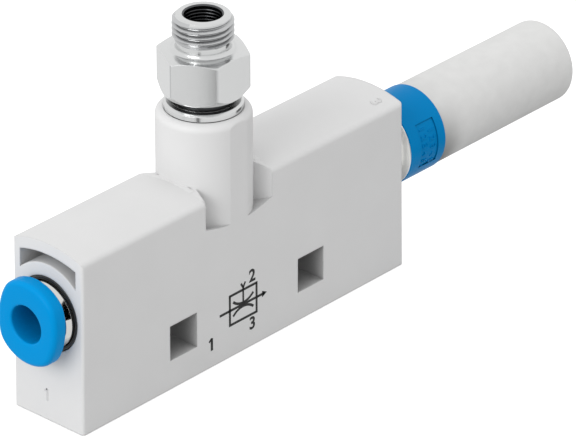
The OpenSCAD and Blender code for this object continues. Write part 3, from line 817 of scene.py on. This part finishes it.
def arcStroke(bm, centre, turn, settings):
    # curved line: a short row across it, swept round its centre
    radius, width, halfTurn = settings["arcRadius"], settings["line"], math.radians(settings["arcHalfTurn"])
    points = [(centre[0] + r * math.cos(turn - halfTurn), centre[1] + r * math.sin(turn - halfTurn), 0)
              for r in (radius - width / 2, radius + width / 2)]
    verts = [bm.verts.new(point) for point in points]
    bmesh.ops.spin(bm, geom=verts + [bm.edges.new(verts)], cent=(*centre, 0), axis=(0, 0, 1),
                   angle=2 * halfTurn, steps=settings["arcSteps"])


def digitMesh(text, height, bold):
    # a plain number from Blender's own font, made a mesh
    curve = bpy.data.curves.new("digit", "FONT")
    curve.body = text
    curve.offset = bold
    curve.size = height / digitShape["font"]
    curve.align_x = "CENTER"
    holder = bpy.data.objects.new("digit", curve)
    mesh = bpy.data.meshes.new_from_object(holder)
    bpy.data.objects.remove(holder)
    return mesh


def drawNumber(bm, text, height, bold):
    # a single one is stroked with its flag, any other text comes from the font
    if text == "1":
        flagX, flagY = digitShape["flag"]
        stroke(bm, (0, 0), (0, height), 2 * bold + digitShape["stem"] * height)
        stroke(bm, (0, height), (flagX * height, flagY * height), 2 * bold + digitShape["flagLine"] * height)
        return
    mesh = digitMesh(text, height, bold)
    bm.from_mesh(mesh)
    bpy.data.meshes.remove(mesh)


def inkPiece(name, bm, settings):
    # lifts flat work to the ink's thickness and stands it on the housing's printed side
    bmesh.ops.remove_doubles(bm, verts=bm.verts, dist=0.001)
    bmesh.ops.recalc_face_normals(bm, faces=bm.faces)
    for face in bm.faces:
        if face.normal.z < 0:
            face.normal_flip()
    liftFaces(bm, bm.faces[:], (0, 0, settings["ink"]))
    setInPlace(bm, turns=[("X", 90)], move=(0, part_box("housing")[0][1] / mm, 0))
    finishPiece(name, bm, printInk)


def drawArrows(bm, settings):
    # the arrow along the air's way, and the forked stem that comes down from the vacuum port
    cx, cz = settings["centre"]
    line, fork = settings["line"], settings["fork"]
    left, right = settings["arrowReach"]
    headLong, headTall = settings["head"]
    stroke(bm, (cx + left, cz), (cx + right - headLong / 2, cz), line)
    tip = bm.verts.new((cx + right, cz, 0))
    base = [bm.verts.new((cx + right - headLong, cz + s * headTall / 2, 0)) for s in (-1, 1)]
    bm.faces.new([tip, base[1], base[0]])
    stemTop, stemLine = cz + settings["stemTop"], line * settings["stemLine"]
    forkLow = stemTop - fork["tall"]
    stroke(bm, (cx, cz + settings["throatHalf"]), (cx, forkLow + fork["overlap"]), stemLine)
    for side in (-1, 1):
        stroke(bm, (cx, forkLow), (cx + side * fork["wide"], stemTop), stemLine)


def printSymbol(settings):
    # a frame round two arcs that nearly meet, with the air's way between them
    cx, cz = settings["centre"]
    hx, hz = settings["frameHalf"]
    line = settings["line"]
    bm = bmesh.new()
    for z in (cz - hz, cz + hz):
        stroke(bm, (cx - hx - line / 2, z), (cx + hx + line / 2, z), line)
    for x in (cx - hx, cx + hx):
        stroke(bm, (x, cz - hz), (x, cz + hz), line)
    drawArrows(bm, settings)
    reach = settings["throatHalf"] + settings["arcRadius"]
    arcStroke(bm, (cx, cz + reach), -math.pi / 2, settings)
    arcStroke(bm, (cx, cz - reach), math.pi / 2, settings)
    inkPiece("printed_symbol", bm, settings)
    for text, x, z in settings["digits"]:
        bm = bmesh.new()
        drawNumber(bm, text, settings["digitHeight"], settings["digitBold"])
        bmesh.ops.translate(bm, vec=(x, z, 0), verts=bm.verts)
        inkPiece("printed_number_" + text, bm, settings)


printSymbol(printSettings)

print("ejector: moulded numbers")

# raised plain numbers: one at each end of the housing, two rows on the collar's panel
mouldedSettings = {
    "proud": 0.07,
    "bury": 0.1,
    "bold": 0.02,
    "supply": {"text": "1", "height": 2.1, "place": (-37.3, 0.3, 3.4)},
    "exhaust": {"text": "3", "height": 2.2, "x": 32.2, "turn": 13.5, "radius": 21.0, "centreZ": 9.8},
    "panel": {
        "height": 1.3,
        "rows": (("1 2 3 4 5", 0.25), ("1 2 3 4 5 6", -1.6)),
        "turn": 90.0,
        "radius": 7.16,
        "beforeTube": 3.97,
    },
}


def raiseNumber(text, height, settings):
    # a flat number made a low block, partly sunk into what it stands on, in mm
    bm = bmesh.new()
    drawNumber(bm, text, height, settings["bold"])
    bmesh.ops.remove_doubles(bm, verts=bm.verts, dist=0.001)
    liftFaces(bm, bm.faces[:], (0, 0, settings["proud"] + settings["bury"]))
    bmesh.ops.translate(bm, vec=(0, 0, -settings["bury"]), verts=bm.verts)
    return bm


def wrapNumber(bm, x, centreZ, own):
    # bends a block over a round side: its width runs down that side, its top points to the exhaust
    for vert in bm.verts:
        across, up, out = vert.co
        angle = math.radians(own["turn"]) + across / own["radius"]
        reach = own["radius"] + out
        vert.co = (x + up, -reach * math.sin(angle), centreZ + reach * math.cos(angle))
    setInPlace(bm)


def mouldNumbers(settings):
    own = settings["supply"]
    bm = raiseNumber(own["text"], own["height"], settings)
    setInPlace(bm, turns=[("X", 90), ("Z", -90)], move=own["place"])
    finishPiece("moulded_number_supply", bm, housingGrey)
    own = settings["exhaust"]
    bm = raiseNumber(own["text"], own["height"], settings)
    wrapNumber(bm, own["x"], own["centreZ"], own)
    finishPiece("moulded_number_exhaust", bm, housingGrey)
    own = settings["panel"]
    low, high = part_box("silencer_collar")
    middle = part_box("silencer_tube")[0][0] / mm - own["beforeTube"]
    for row, (text, up) in enumerate(own["rows"], 1):
        bm = raiseNumber(text, own["height"], settings)
        wrapNumber(bm, middle + up, (low[2] + high[2]) / 2 / mm, own)
        finishPiece("moulded_panel_row_" + str(row), bm, collarBlue)


mouldNumbers(mouldedSettings)

print("ejector: slot sides")

# the slots beside the neck close in towards it: a wedge of the housing in each corner
slotSettings = {
    "neckX": -1.9,
    "mouth": (7.6, 7.4),
    "root": (6.4, 4.3),
    "wedge": {"alongX": (6.0, 10.0), "acrossY": (3.6, 7.38), "lift": 0.04},
    "bridge": {"alongX": (7.0, 10.0), "acrossY": (0.0, 4.4), "lift": 0.03},
    "lowZ": 22.0,
    "dip": 0.1,
    "crown": (21.0, 9.8),  # the top's radius and the height of its centre
    "edge": (0.9, 6.5, 28.82),  # the rounded edge's radius and its centre
    "steps": 24,
}


def housingTop(y, settings):
    # height of the crowned top and of its rounded edge, in mm
    radius, centreZ = settings["crown"]
    edge, edgeY, edgeZ = settings["edge"]
    if y * (radius - edge) > edgeY * radius:
        return edgeZ + math.sqrt(edge ** 2 - (y - edgeY) ** 2)
    return centreZ + math.sqrt(radius ** 2 - y ** 2)


def toppedBlock(bm, block, settings):
    # a block whose top lies just over the housing's top and dips under it at the far end
    inner, outer = block["acrossY"]
    near, far = block["alongX"]
    lowZ, steps = settings["lowZ"], settings["steps"]
    ys = [inner + (outer - inner) * i / steps for i in range(steps + 1)]
    points = [(near, y, housingTop(y, settings) + block["lift"]) for y in ys]
    points += [(near, outer, lowZ), (near, inner, lowZ)]
    face = bm.faces.new([bm.verts.new(point) for point in points])
    swept = liftFaces(bm, [face], (far - near, 0, 0))
    bmesh.ops.translate(bm, vec=(0, 0, -settings["dip"]), verts=[v for v in swept if v.co.z > lowZ])


def slotWedges(settings):
    bm = bmesh.new()
    toppedBlock(bm, settings["wedge"], settings)
    mouth, root = Vector(settings["mouth"]), Vector(settings["root"])
    wall = mouth - root
    cut = bmesh.ops.bisect_plane(bm, geom=bm.verts[:] + bm.edges[:] + bm.faces[:], dist=0.0001,
                                 plane_co=(*mouth, 0), plane_no=(-wall.y, wall.x, 0), clear_outer=True)
    bmesh.ops.holes_fill(bm, edges=[g for g in cut["geom_cut"] if isinstance(g, bmesh.types.BMEdge)])
    toppedBlock(bm, settings["bridge"], settings)
    for axis in ("X", "Y"):
        bmesh.ops.mirror(bm, geom=bm.verts[:] + bm.edges[:] + bm.faces[:], matrix=Matrix.Identity(4),
                         merge_dist=-1, axis=axis)
    setInPlace(bm, move=(settings["neckX"], 0, 0))
    finishPiece("housing_slot_sides", bm, housingGrey)


slotWedges(slotSettings)

print("ejector: done")
